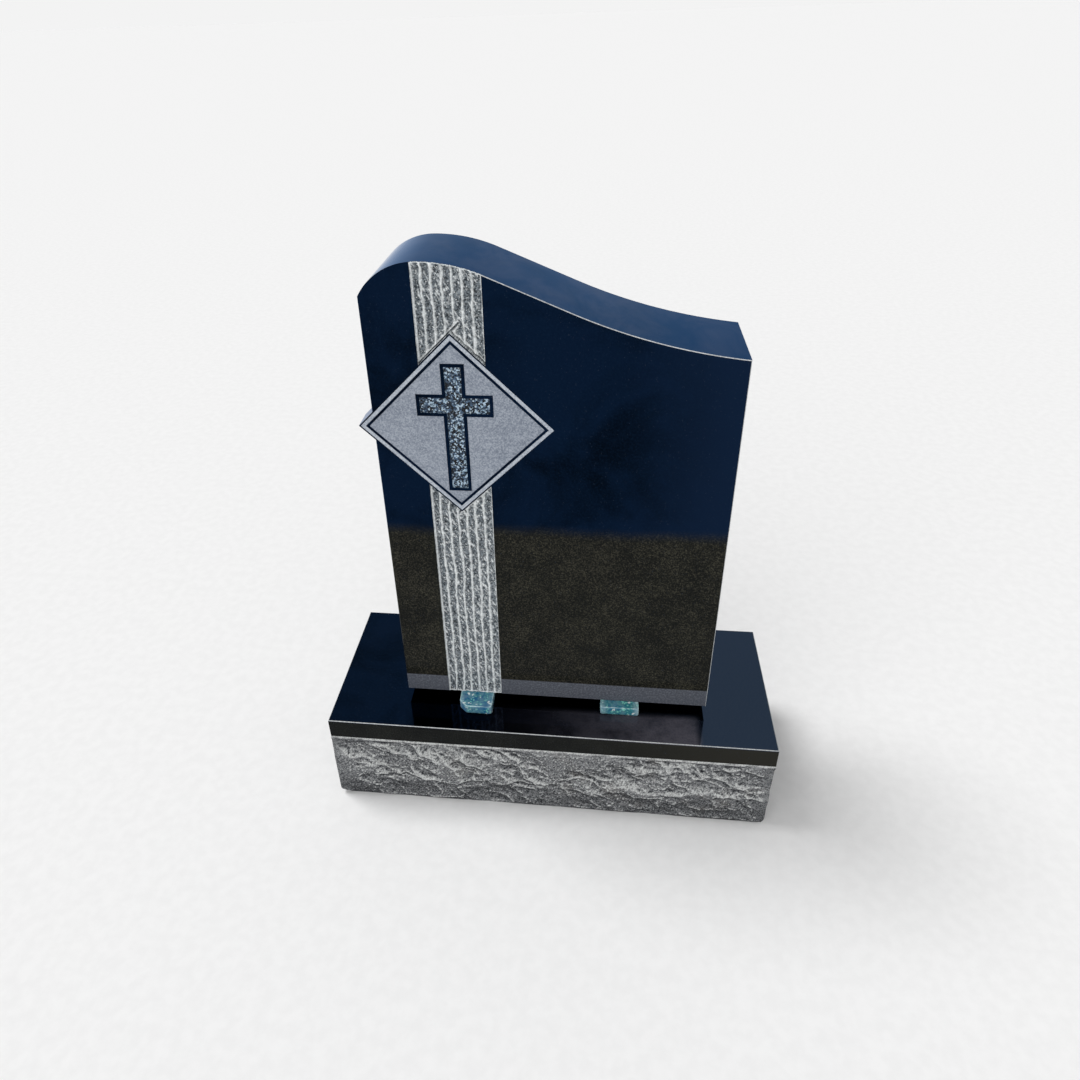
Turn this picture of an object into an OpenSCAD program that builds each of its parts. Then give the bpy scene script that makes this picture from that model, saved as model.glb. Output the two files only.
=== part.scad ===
// Headstone of black granite: a wave-topped tablet with a chiselled fluted band
// and a diamond that bears a cross, standing on two setting blocks on a base
// with a polished margin and rock-pitched sides.
// Millimetres. The origin is the centre of the base's underside, +X runs to the
// viewer's right, the front faces -Y and +Z is up.

/* [Base] */
// Width of the base, measured at the polished margin
base_w = 800; // [700:10:1200]
// Depth of the base, front to back, measured at the polished margin
base_d = 300; // [260:10:500]
// Height of the base
base_h = 200; // [150:10:300]
// Height of the polished margin round the top of the base
margin_h = 40; // [20:5:60]
// How far the pitched sides stand out beyond the margin
pitch_proud = 3; // [1:0.5:10]
// Deepest cut of the pitching tool into those sides
pitch_cut = 9; // [4:0.5:14]

/* [Tablet] */
// Width of the tablet
tablet_w = 545; // [450:5:680]
// Thickness of the tablet
tablet_t = 150; // [110:5:180]
// Distance of the tablet's front face behind the base's front edge
tablet_setback = 73; // [50:1:75]
// How far the tablet's middle stands to the right of the base's middle
tablet_shift = 9; // [-40:1:40]
// Height of the tablet's left side
left_h = 755; // [680:5:780]
// Height of the tablet's right side
right_h = 669; // [620:1:700]

/* [Wave top] */
// Height of the crest
crest_h = 804; // [790:1:850]
// Distance of the crest from the tablet's left side
crest_x = 85; // [70:1:120]
// Radius of the shoulder to the right of the crest
shoulder_r = 243; // [180:1:260]
// Slope of the straight fall behind the shoulder, in degrees
fall_slope = 23.3; // [20:0.1:26]
// Radius of the hollow that ends the wave
hollow_r = 846; // [700:1:1000]

/* [Fluted band] */
// Distance of the band's middle, and of the diamond's, from the left side
motif_x = 126.5; // [115:0.5:150]
// Width of the band
band_w = 98; // [70:1:130]
// Number of flutes across the band
flutes = 7; // [5:1:9]
// Depth of the ridges between the flutes below the tablet's face
ridge_sunk = 4; // [2:0.5:6]
// Depth of a flute below its ridges
flute_depth = 4; // [2:0.5:5]

/* [Diamond] */
// Height of the diamond's centre above the tablet's underside
diamond_z = 553; // [500:1:580]
// Distance from the diamond's centre to each of its points
diamond_r = 150; // [130:1:170]
// Thickness of the point that stands out past the tablet's left side
diamond_t = 40; // [20:1:80]

/* [Cross] */
// Height of the cross
cross_h = 204; // [160:1:215]
// Width of the cross over its arms
cross_w = 107; // [80:1:120]
// Width of the cross's stem and arms
cross_bar = 27; // [18:1:36]
// Depth of the pecked cross below the diamond's face
cross_sunk = 2; // [1:0.5:4]
// Height of the middle of the arms above the diamond's centre
arms_up = 37; // [20:1:50]
// Distance of the cross's head above the diamond's centre
head_up = 98.5; // [85:0.5:105]

/* [Setting blocks] */
// Thickness of the blocks, which is the gap under the tablet
block_h = 19; // [12:1:30]
// Width of the left block
left_block_w = 63; // [40:1:80]
// Distance of the left block's middle to the left of the base's middle
left_block_x = 133; // [120:1:180]
// How far the left block stands out in front of the tablet
left_block_out = 35; // [10:1:45]
// Width of the right block
right_block_w = 71; // [40:1:80]
// Distance of the right block's middle to the right of the base's middle
right_block_x = 128; // [100:1:180]
// How far the right block stands out in front of the tablet
right_block_out = 17; // [10:1:45]
// Distance of the blocks' back ends inside the tablet's back face
block_inset = 15; // [5:1:30]

/* [Hidden] */

polished = [0.07, 0.09, 0.13];
pitched = [0.45, 0.46, 0.48];
resin = [0.25, 0.45, 0.52];

front_y = tablet_setback - base_d / 2;
back_y = front_y + tablet_t;
left_x = tablet_shift - tablet_w / 2;
foot_z = base_h + block_h;
rock_h = base_h - margin_h;

// Extra length of a cutting solid past the face that it opens
past = 10;
arc_fn = 360;

// Turns a plan drawn in X and Z into a slab whose front face lies at y = 0
module slab(thickness) {
    translate([0, thickness, 0])
        rotate([90, 0, 0])
            linear_extrude(height = thickness)
                children();
}

// --- Base ---------------------------------------------------------------

// Radius of the shallow bowls that the pitching tool strikes off
bowl_r = 150;
// Distance between neighbouring bowls, as a multiple of a full bowl's reach
bowl_spread = 1.25;
// How far the lower and the upper course are shifted sideways, in steps
course_shift = [0.3, 0.7];
// Height of the lower course, as a share of the pitched sides' height
lower_course = 0.28;
// Stone left whole between the upper course and the margin
bowl_clear = 4;

// Half the breadth at the surface of a bowl that is cut to this depth
function reach(depth) = sqrt(2 * bowl_r * depth - depth * depth);

// Bowls over one pitched side, which lies in X and Z with its outside at y = 0.
// They lie in two staggered courses and differ in depth
module bowls(side_w, seed) {
    count = max(2, floor(side_w / (bowl_spread * reach(pitch_cut))));
    step = side_w / count;
    depths = rands(0.5 * pitch_cut, pitch_cut, 2 * count, seed);
    for (course = [0, 1])
        for (i = [0 : count - 1]) {
            depth = depths[course * count + i];
            heights = [lower_course * rock_h, rock_h - reach(depth) - bowl_clear];
            translate([(i + course_shift[course]) * step - side_w / 2,
                       depth - bowl_r, heights[course]])
                sphere(r = bowl_r, $fn = 144);
        }
}

module base() {
    rock_w = base_w + 2 * pitch_proud;
    rock_d = base_d + 2 * pitch_proud;
    color(polished)
        translate([-base_w / 2, -base_d / 2, rock_h])
            cube([base_w, base_d, margin_h]);
    color(pitched)
        difference() {
            translate([-rock_w / 2, -rock_d / 2, 0])
                cube([rock_w, rock_d, rock_h]);
            for (side = [0, 1]) {
                rotate([0, 0, 180 * side])
                    translate([0, -rock_d / 2, 0])
                        bowls(rock_w, 11 + side);
                rotate([0, 0, 90 + 180 * side])
                    translate([0, -rock_w / 2, 0])
                        bowls(rock_d, 21 + side);
            }
        }
}

// --- Tablet -------------------------------------------------------------

// The wave runs from the left side up an arc to the crest, over the shoulder's
// arc, down a straight fall and through the hollow's arc to the right side
crest_rise = crest_h - left_h;
crest_r = (crest_x * crest_x + crest_rise * crest_rise) / (2 * crest_rise);
fall_dir = [cos(fall_slope), -sin(fall_slope)];
fall_up = [sin(fall_slope), cos(fall_slope)];
shoulder_end = [crest_x, crest_h - shoulder_r] + shoulder_r * fall_up;

// The hollow's circle touches the fall and passes through the right side's top
to_right = [tablet_w, right_h] - shoulder_end - hollow_r * fall_up;
along = to_right * fall_dir;
fall_len = along - sqrt(along * along - to_right * to_right + hollow_r * hollow_r);
hollow_start = shoulder_end + fall_len * fall_dir;

// Outline of the tablet from in front, from its lower left corner
module wave_outline() {
    difference() {
        union() {
            polygon([[0, 0], [tablet_w, 0], [tablet_w, right_h], hollow_start,
                     shoulder_end, [crest_x, crest_h], [0, left_h]]);
            intersection() {
                translate([crest_x, crest_h - crest_r])
                    circle(r = crest_r, $fn = arc_fn);
                translate([0, left_h - 1])
                    square([crest_x, crest_rise + 1]);
            }
            intersection() {
                translate([crest_x, crest_h - shoulder_r])
                    circle(r = shoulder_r, $fn = arc_fn);
                translate([crest_x - 1, shoulder_end[1]])
                    square([shoulder_end[0] - crest_x + 1, crest_h - shoulder_end[1]]);
            }
        }
        translate(hollow_start + hollow_r * fall_up)
            circle(r = hollow_r, $fn = arc_fn);
    }
}

// Cutter for the fluted band, in plan: the front face lies at y = 0
module band_plan() {
    pitch = band_w / flutes;
    // Each flute is an arc through the two ridges beside it
    flute_r = (pitch * pitch / 4 + flute_depth * flute_depth) / (2 * flute_depth);
    sunk = ridge_sunk + flute_depth;
    intersection() {
        translate([-band_w / 2, -past])
            square([band_w, past + sunk + 1]);
        union() {
            translate([-band_w / 2, -past])
                square([band_w, past + ridge_sunk / 2]);
            for (i = [0 : flutes - 1])
                translate([(i + 0.5) * pitch - band_w / 2, sunk - flute_r])
                    circle(r = flute_r, $fn = 72);
        }
    }
}

// Latin cross, with the diamond's centre at the origin
module cross_plan() {
    translate([-cross_bar / 2, head_up - cross_h])
        square([cross_bar, cross_h]);
    translate([-cross_w / 2, arms_up - cross_bar / 2])
        square([cross_w, cross_bar]);
}

module tablet() {
    color(polished)
        translate([left_x, front_y, foot_z])
            difference() {
                union() {
                    difference() {
                        slab(tablet_t)
                            wave_outline();
                        translate([motif_x, 0, -past])
                            linear_extrude(height = crest_h + 2 * past)
                                band_plan();
                    }
                    // The diamond fills the band and its left point overhangs the side
                    translate([motif_x, 0, diamond_z])
                        slab(diamond_t)
                            polygon([[diamond_r, 0], [0, diamond_r],
                                     [-diamond_r, 0], [0, -diamond_r]]);
                }
                translate([motif_x, -past, diamond_z])
                    slab(past + cross_sunk)
                        cross_plan();
            }
}

// --- Setting blocks -------------------------------------------------------

// Depth of the blocks under the tablet
under = tablet_t - block_inset;
// Size of the breaks at the left and the right front corner of each block
left_block_breaks = [12, 4];
right_block_breaks = [2, 2];

// A block that runs under the tablet from its front end, at y = -out
module setting_block(width, out, breaks) {
    half = width / 2;
    color(resin)
        translate([0, front_y, base_h])
            linear_extrude(height = block_h)
                polygon([[-half + breaks[0], -out],
                         [half - breaks[1], -out],
                         [half, -out + breaks[1]],
                         [half, under],
                         [-half, under],
                         [-half, -out + breaks[0]]]);
}

module setting_block_left() {
    translate([-left_block_x, 0, 0])
        setting_block(left_block_w, left_block_out, left_block_breaks);
}

module setting_block_right() {
    translate([right_block_x, 0, 0])
        setting_block(right_block_w, right_block_out, right_block_breaks);
}

base();
tablet();
setting_block_left();
setting_block_right();
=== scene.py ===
import math

import bmesh
import bpy
import numpy as np
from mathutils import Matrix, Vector
from mathutils.geometry import tessellate_polygon


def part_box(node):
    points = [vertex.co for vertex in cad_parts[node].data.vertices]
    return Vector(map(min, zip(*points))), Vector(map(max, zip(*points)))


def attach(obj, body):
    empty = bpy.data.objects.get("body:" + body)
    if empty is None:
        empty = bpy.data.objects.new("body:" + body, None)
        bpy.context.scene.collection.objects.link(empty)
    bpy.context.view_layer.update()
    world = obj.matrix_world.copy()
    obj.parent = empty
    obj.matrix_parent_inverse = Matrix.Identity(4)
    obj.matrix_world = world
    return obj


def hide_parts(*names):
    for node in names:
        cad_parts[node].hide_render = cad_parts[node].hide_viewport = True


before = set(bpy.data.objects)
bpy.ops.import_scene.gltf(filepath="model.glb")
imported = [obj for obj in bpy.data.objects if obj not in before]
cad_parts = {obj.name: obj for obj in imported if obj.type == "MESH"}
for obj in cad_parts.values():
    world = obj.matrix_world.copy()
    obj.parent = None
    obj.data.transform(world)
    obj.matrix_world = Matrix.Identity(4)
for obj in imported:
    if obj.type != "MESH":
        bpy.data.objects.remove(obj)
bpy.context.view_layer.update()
MM = 0.001
HAIR = 0.001 * MM             # points nearer than this count as touching

# --- Sizes, in metres, from the frame and from the carving's own dimensions ---

TABLET_LO, TABLET_HI = (Vector(c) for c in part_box("tablet"))
BASE_LO, BASE_HI = (Vector(c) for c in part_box("base"))

MOTIF_X = 126.5 * MM          # middle of the band and the diamond, from the tablet's left side
DIAMOND_R = 150 * MM          # centre to point of the diamond's edge
DIAMOND_Z = 553 * MM          # the diamond's centre above the tablet's underside
DIAMOND_T = 40 * MM           # thickness of the point that overhangs the left side
OVERHANG = DIAMOND_R - MOTIF_X
ARRIS = 1.1 * MM              # breadth of the fine chamfer along the polished edges

TABLET_X = TABLET_LO.x + OVERHANG
TABLET_W = TABLET_HI.x - TABLET_X
TABLET_T = TABLET_HI.y - TABLET_LO.y
TABLET_ORIGIN = Vector((TABLET_X, TABLET_LO.y, TABLET_LO.z))

CREST_H = TABLET_HI.z - TABLET_LO.z
CREST_X = 85 * MM
LEFT_H = 755 * MM
RIGHT_H = 669 * MM
SHOULDER_R = 243 * MM
FALL_SLOPE = math.radians(23.3)
HOLLOW_R = 846 * MM

BAND_W = 98 * MM
FLUTES = 7
RIDGE_SUNK = 4 * MM
FLUTE_DEPTH = 4 * MM

# The diamond's nested outlines, each as the distance from its centre to its points
BORDER_OUT = 147 * MM         # frosted border
BORDER_IN = 139 * MM
FIELD_OUT = 133.2 * MM        # frosted field, inside a polished line
FROST_SUNK = 0.4 * MM

CROSS_H = 204 * MM
CROSS_W = 105 * MM
CROSS_BAR = 25 * MM
CROSS_RIM = 5.2 * MM          # polished outline round the pecked cross
CROSS_SUNK = 2 * MM
ARMS_UP = 37 * MM
HEAD_UP = 98.5 * MM

MARGIN_H = 40 * MM            # polished margin round the base
ROCK_PROUD = 3 * MM           # how far the CAD's pitched sides stand beyond the margin
PLAIN = 0.36                  # the "pale" value of rock with no painted light, no painted shade and no bruising


# --- Camera ---

def add_camera():
    data = bpy.data.cameras.new("camera")
    camera = bpy.data.objects.new("camera", data)
    bpy.context.collection.objects.link(camera)
    data.sensor_width = 36
    data.lens = 26.47
    data.shift_x = 0.0279
    data.shift_y = -0.0634
    data.clip_start = 0.05
    data.clip_end = 200
    camera.location = (0.0769, -1.1153, 1.3239)
    camera.rotation_euler = [math.radians(a) for a in (59.158, 1.748, 6.369)]
    bpy.context.scene.camera = camera


add_camera()


# --- Numbers: smooth noise and simple curves ---

def lattice(cells, seed):
    """A repeatable random number from 0 to 1 for each whole-numbered cell."""
    h = (cells[..., 0].astype(np.int64) * 374761393 + cells[..., 1].astype(np.int64) * 668265263
         + cells[..., 2].astype(np.int64) * 2147483647 + seed * 1274126177)
    h = (h ^ (h >> 13)) * 1103515245
    h = h ^ (h >> 16)
    return (h & 0xFFFFFF) / float(0xFFFFFF)


def noise(x, y, z=0.0, seed=0):
    """Smooth noise from -1 to 1, one unit from bump to bump."""
    p = np.stack(np.broadcast_arrays(x, y, z), -1).astype(float)
    cell = np.floor(p)
    t = p - cell
    t = t * t * (3 - 2 * t)
    total = 0.0
    for dx in (0, 1):
        for dy in (0, 1):
            for dz in (0, 1):
                weight = (np.abs(1 - dx - t[..., 0]) * np.abs(1 - dy - t[..., 1])
                          * np.abs(1 - dz - t[..., 2]))
                total = total + weight * lattice(cell + (dx, dy, dz), seed)
    return 2 * total - 1


def rough(x, y, z=0.0, seed=0, octaves=4, fall=0.5):
    """Noise with finer and finer detail."""
    total, size, reach = 0.0, 1.0, 0.0
    for k in range(octaves):
        total = total + size * noise(x * 2 ** k, y * 2 ** k, z * 2 ** k, seed + 17 * k)
        reach += size
        size *= fall
    return total / reach


def ramp(value, low, high):
    """0 below low, 1 above high and smooth between."""
    t = np.clip((value - low) / (high - low), 0, 1)
    return t * t * (3 - 2 * t)


# --- The wave top ---

CREST_R = (CREST_X ** 2 + (CREST_H - LEFT_H) ** 2) / (2 * (CREST_H - LEFT_H))
FALL_DIR = np.array([math.cos(FALL_SLOPE), -math.sin(FALL_SLOPE)])
FALL_UP = np.array([math.sin(FALL_SLOPE), math.cos(FALL_SLOPE)])
SHOULDER_END = np.array([CREST_X, CREST_H - SHOULDER_R]) + SHOULDER_R * FALL_UP
TO_RIGHT = np.array([TABLET_W, RIGHT_H]) - SHOULDER_END - HOLLOW_R * FALL_UP
ALONG = TO_RIGHT @ FALL_DIR
FALL_LEN = ALONG - math.sqrt(ALONG ** 2 - TO_RIGHT @ TO_RIGHT + HOLLOW_R ** 2)
HOLLOW_START = SHOULDER_END + FALL_LEN * FALL_DIR
HOLLOW_CENTRE = HOLLOW_START + HOLLOW_R * FALL_UP


def wave(x):
    """Height of the wave top at a distance x from the tablet's left side."""
    x = np.asarray(x, float)
    crest = CREST_H - CREST_R + np.sqrt(np.maximum(CREST_R ** 2 - (x - CREST_X) ** 2, 0))
    shoulder = CREST_H - SHOULDER_R + np.sqrt(np.maximum(SHOULDER_R ** 2 - (x - CREST_X) ** 2, 0))
    fall = SHOULDER_END[1] - (x - SHOULDER_END[0]) * math.tan(FALL_SLOPE)
    hollow = HOLLOW_CENTRE[1] - np.sqrt(HOLLOW_R ** 2 - (x - HOLLOW_CENTRE[0]) ** 2)
    return np.where(x < CREST_X, crest,
                    np.where(x < SHOULDER_END[0], shoulder,
                             np.where(x < HOLLOW_START[0], fall, hollow)))


# --- Collecting faces ---

class Stone:
    """One closed mesh: points, faces, and a finish and a shade for each."""

    def __init__(self, name, finishes):
        self.name = name
        self.finishes = list(finishes)
        self.points = []
        self.shades = []
        self.faces = []
        self.face_finish = []

    def add(self, points, faces, finish, shades=0.0):
        first = len(self.points)
        self.points.extend([tuple(p) for p in points])
        self.shades.extend(np.broadcast_to(shades, len(points)).tolist())
        self.faces.extend([tuple(first + i for i in f) for f in faces])
        self.face_finish.extend([self.finishes.index(finish)] * len(faces))

    def sheet(self, grid, finish, shades=0.0):
        """Quads over a grid of points, indexed [row, column]."""
        rows, columns = grid.shape[:2]
        index = np.arange(rows * columns).reshape(rows, columns)
        faces = np.stack([index[:-1, :-1], index[:-1, 1:], index[1:, 1:], index[1:, :-1]], -1)
        shades = np.broadcast_to(shades, (rows, columns)).ravel()
        self.add(grid.reshape(-1, 3), faces.reshape(-1, 4).tolist(), finish, shades)

    def flat(self, outline, finish, holes=(), shades=0.0):
        """A flat face with holes, from loops of points."""
        loops = [[Vector(p) for p in loop] for loop in (outline, *holes)]
        points = [p for loop in loops for p in loop]
        self.add(points, tessellate_polygon(loops), finish, shades)

    def fan(self, ring, finish):
        """A flat face from a ring of points, as triangles round their middle."""
        points = np.concatenate([ring, np.mean(ring, 0)[None]])
        count = len(ring)
        self.add(points, [(k, (k + 1) % count, count) for k in range(count)], finish)

    def build(self, origin, smooth_angle=30):
        mesh = bpy.data.meshes.new(self.name)
        mesh.from_pydata([Vector(p) + origin for p in self.points], [], self.faces)
        for finish in self.finishes:
            mesh.materials.append(MATERIALS[finish])
        mesh.polygons.foreach_set("material_index", self.face_finish)
        shade = mesh.attributes.new("pale", "FLOAT", "POINT")
        shade.data.foreach_set("value", self.shades)
        piece = bpy.data.objects.new(self.name, mesh)
        bpy.context.collection.objects.link(piece)
        weld(mesh)
        mesh.polygons.foreach_set("use_smooth", [True] * len(mesh.polygons))
        mesh.set_sharp_from_angle(angle=math.radians(smooth_angle))
        return piece


def weld(mesh):
    """Join the parts of a mesh where they meet."""
    bm = bmesh.new()
    bm.from_mesh(mesh)
    bmesh.ops.remove_doubles(bm, verts=bm.verts, dist=0.01 * MM)
    bmesh.ops.dissolve_degenerate(bm, edges=bm.edges, dist=0.005 * MM)
    bmesh.ops.recalc_face_normals(bm, faces=bm.faces)
    bm.to_mesh(mesh)
    bm.free()


# --- Materials ---

COLOUR_A = 6                  # a Mix node's sockets that carry colours
COLOUR_B = 7
COLOUR_OUT = 2


class Looks:
    """A procedural material: short names for the few kinds of node that it needs."""

    def __init__(self, name, **settings):
        self.material = bpy.data.materials.new(name)
        self.material.use_nodes = True
        self.tree = self.material.node_tree
        self.shader = self.tree.nodes["Principled BSDF"]
        self.fill(self.shader, **settings)
        self.place = self.node("ShaderNodeTexCoord").outputs["Object"]

    def node(self, kind, **options):
        made = self.tree.nodes.new(kind)
        for key, value in options.items():
            setattr(made, key, value)
        return made

    def link(self, value, socket):
        """Lead another node's output to a socket, or set the socket's own constant."""
        if isinstance(value, bpy.types.NodeSocket):
            self.tree.links.new(value, socket)
        else:
            socket.default_value = value

    def fill(self, made, **values):
        for key, value in values.items():
            self.link(value, made.inputs[key.replace("_", " ")])

    def noise(self, scale, detail=3.0, roughness=0.55, distortion=0.0, stretch=None):
        made = self.node("ShaderNodeTexNoise")
        self.fill(made, Vector=self.stretched(stretch), Scale=scale, Detail=detail,
                  Roughness=roughness, Distortion=distortion)
        return made.outputs["Fac"]

    def cells(self, scale, output="Distance"):
        made = self.node("ShaderNodeTexVoronoi")
        self.fill(made, Vector=self.place, Scale=scale)
        return made.outputs[output]

    def stretched(self, stretch):
        if stretch is None:
            return self.place
        made = self.node("ShaderNodeMapping")
        self.fill(made, Vector=self.place, Scale=stretch)
        return made.outputs["Vector"]

    def along(self, axis):
        made = self.node("ShaderNodeSeparateXYZ")
        self.link(self.place, made.inputs["Vector"])
        return made.outputs[axis]

    def attribute(self, name):
        return self.node("ShaderNodeAttribute", attribute_name=name).outputs["Fac"]

    def range(self, value, low, high, to_low=0.0, to_high=1.0):
        made = self.node("ShaderNodeMapRange", interpolation_type="SMOOTHSTEP")
        self.fill(made, Value=value, From_Min=low, From_Max=high, To_Min=to_low, To_Max=to_high)
        return made.outputs["Result"]

    def math(self, operation, a, b=0.0):
        made = self.node("ShaderNodeMath", operation=operation)
        self.link(a, made.inputs[0])
        self.link(b, made.inputs[1])
        return made.outputs[0]

    def mix(self, factor, a, b):
        made = self.node("ShaderNodeMix", data_type="RGBA")
        self.link(factor, made.inputs["Factor"])
        self.link(a, made.inputs[COLOUR_A])
        self.link(b, made.inputs[COLOUR_B])
        return made.outputs[COLOUR_OUT]

    def times(self, a, b):
        return self.math("MULTIPLY", a, b)

    def dots(self, color, tone, cells, noise, chosen):
        """Dots of a tone: the middles of cells (scale and reach), where a noise chooses them."""
        dot = self.range(self.cells(cells[0]), *cells[1:])
        choice = self.range(self.noise(*noise), *chosen)
        return self.mix(self.times(dot, choice), color, tone)

    def bump(self, height, distance, strength):
        made = self.node("ShaderNodeBump")
        self.fill(made, Strength=strength, Distance=distance, Height=height)
        return made.outputs["Normal"]

    def finish(self, color, roughness, normal=None):
        self.fill(self.shader, Base_Color=color, Roughness=roughness)
        if normal is not None:
            self.fill(self.shader, Normal=normal)
        return self.material


def srgb(r, g, b):
    """A colour from its 0 to 255 screen values."""
    return tuple(((c / 255 + 0.055) / 1.055) ** 2.4 if c > 10 else c / 255 / 12.92
                 for c in (r, g, b)) + (1.0,)


def tablet_reflection_patch(m):
    """How strong a painted reflection of the tablet's foot lies on the base's top: most in
    front of the tablet's right half.
    """
    x = m.along("X")
    tablet_reflection = m.times(m.range(x, -0.16, 0.24, 0.0, 0.8), m.range(x, 0.276, 0.258))
    tablet_reflection = m.times(tablet_reflection, m.range(m.along("Y"), -0.078, -0.096))
    return m.times(tablet_reflection, m.range(m.noise(14, 5.0, 0.7), 0.25, 0.6, 0.5, 1.0))


def mirror_tint(m):
    """The blue of a glancing reflection, strongest on the wave top's left shoulder."""
    clouds = m.range(m.noise(9, 5.0, 0.65, 0.8, (1, 1, 2.5)), 0.32, 0.68)
    tint = m.mix(clouds, srgb(192, 212, 245), srgb(205, 222, 253))
    shoulder = m.times(m.range(m.along("X"), -0.17, -0.25), m.range(m.along("Z"), 0.93, 0.98))
    return m.mix(shoulder, tint, srgb(172, 203, 247))


def polished_granite(name, high, hazy, low, spark, turn, blur, ground_reflection_top=0.0, tablet_reflection_and_brown_margin=False):
    """Near black with fine grain. Above the height turn the polish is a mirror tinted deep blue,
    a painted sky reflection, hazier to the right. Below it the brownish tone is a painted
    reflection of dark ground, with small sparks in the grain, and at the foot, below a given
    height, a greyer strip is a painted reflection of bright ground. blur says how softly the two
    meet, at the front and at the back. The last flag adds on the base's top a painted
    reflection of the tablet's foot, and a browner margin to the right."""
    m = Looks(name, Specular_IOR_Level=0.03)
    spread = m.range(m.along("Y"), -0.07, 0.07, *blur)
    over = m.math("DIVIDE", m.math("SUBTRACT", m.along("Z"), turn), spread)
    above = m.range(m.math("ADD", over, m.noise(5, 3.0)), 0.0, 1.0)
    mirror = above
    if tablet_reflection_and_brown_margin:
        # A painted reflection of the tablet's foot on the base's top, with no mirror where it
        # lies.
        tablet_reflection = tablet_reflection_patch(m)
        mirror = m.times(above, m.math("SUBTRACT", 1.0, tablet_reflection))
    m.fill(m.shader, Metallic=mirror, Specular_Tint=mirror_tint(m))
    grain = m.range(m.noise(300, 4.0, 0.8), 0.44, 0.68)
    fine = m.math("ADD", m.noise(420, 3.0, 0.85), m.times(m.noise(14, 5.0, 0.7), 0.3))
    low = m.mix(m.range(fine, 0.60, 0.86), low, spark)
    if ground_reflection_top:
        # A greyer strip at the tablet's foot: a painted reflection of bright ground.
        ground_reflection_strip = m.range(m.along("Z"), ground_reflection_top, ground_reflection_top - 0.002, 0.0, 0.85)
        low = m.mix(ground_reflection_strip, low, m.mix(grain, srgb(84, 88, 97), srgb(116, 120, 129)))
    deep = m.range(m.noise(6, 4.0, 0.6, 0.5), 0.36, 0.62)
    high = m.mix(deep, srgb(4, 11, 22), high)
    high = m.mix(m.range(m.along("X"), 0.08, 0.30), high, hazy)
    if tablet_reflection_and_brown_margin:
        # The patch's greyish colour: the painted reflection of the tablet's foot.
        high = m.mix(tablet_reflection, high, srgb(98, 95, 103))
        low = m.mix(m.range(m.along("X"), 0.0, 0.38), low, srgb(42, 41, 36))
    # Painted reflections: the navy above turn stands for sky, the brownish low tone for dark
    # ground.
    color = m.mix(above, low, m.mix(m.times(grain, 0.4), high, srgb(18, 36, 58)))
    color = m.dots(color, srgb(62, 72, 88), (560, 0.28, 0.10), (230, 1.0), (0.60, 0.72))
    smear = m.noise(11, 5.0, 0.7, 0.6)
    return m.finish(color, m.range(smear, 0.3, 0.8, 0.045, 0.13))


def frosted(name, low, high):
    """Sandblasted: pale, matt and finely speckled."""
    m = Looks(name, Specular_IOR_Level=0.2)
    speck = m.range(m.noise(400, 3.0, 0.75), 0.33, 0.67)
    patch = m.range(m.noise(45, 4.0, 0.6, 0.0, (0.4, 1.0, 2.0)), 0.3, 0.7)
    color = m.mix(m.mix(0.2, speck, patch), low, high)
    pit = m.range(m.cells(330), 0.2, 0.08, 0.0, 0.5)
    color = m.mix(pit, color, low)
    grit = m.bump(m.noise(900, 3.0, 0.7), 0.0004, 0.6)
    return m.finish(color, m.range(speck, 0.0, 1.0, 0.62, 0.78), grit)


def broken_tone(m, grain, facet):
    """Mixed light and dark crystals, from 0 to 1."""
    crystals = m.range(m.noise(grain, 4.0, 0.75), 0.33, 0.67)
    return m.range(m.mix(0.45, crystals, m.cells(facet, "Color")), 0.2, 0.8)


def chiselled(name, dark, mid, pale):
    """Broken granite: grey crystals, bruised almost white where the tool hit, with a painted
    highlight on the walls along the diamond's edges.
    """
    m = Looks(name, Specular_IOR_Level=0.25)
    tone = broken_tone(m, 330, 430)
    color = m.mix(tone, dark, mid)
    color = m.dots(color, pale, (380, 0.45, 0.15), (200, 2.0), (0.5, 0.6))
    bruise_and_painted_highlight = m.times(m.attribute("pale"), m.range(tone, 0.1, 0.7, 0.75, 1.0))
    color = m.mix(bruise_and_painted_highlight, color, pale)
    grit = m.bump(m.noise(600, 5.0, 0.8), 0.0012, 0.9)
    return m.finish(color, m.range(tone, 0, 1, 0.85, 0.62), grit)


def pecked():
    """The cross's floor: small dark facets, some of them bright and bluish."""
    m = Looks("pecked_granite", Specular_IOR_Level=0.25)
    facets = m.cells(380, "Color")
    tone = m.range(m.mix(0.35, facets, m.noise(380, 3.0, 0.75)), 0.40, 0.64)
    color = m.mix(tone, srgb(3, 9, 20), srgb(76, 99, 125))
    color = m.mix(m.range(facets, 0.66, 0.76, 0.0, 0.9), color, srgb(184, 206, 224))
    color = m.dots(color, srgb(214, 226, 232), (360, 0.40, 0.15), (190, 2.0), (0.54, 0.62))
    color = m.mix(m.attribute("pale"), color, srgb(176, 206, 228))
    grit = m.bump(m.mix(0.5, facets, m.noise(600, 4.0, 0.8)), 0.0015, 0.8)
    return m.finish(color, m.range(tone, 0, 1, 0.35, 0.6), grit)


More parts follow.
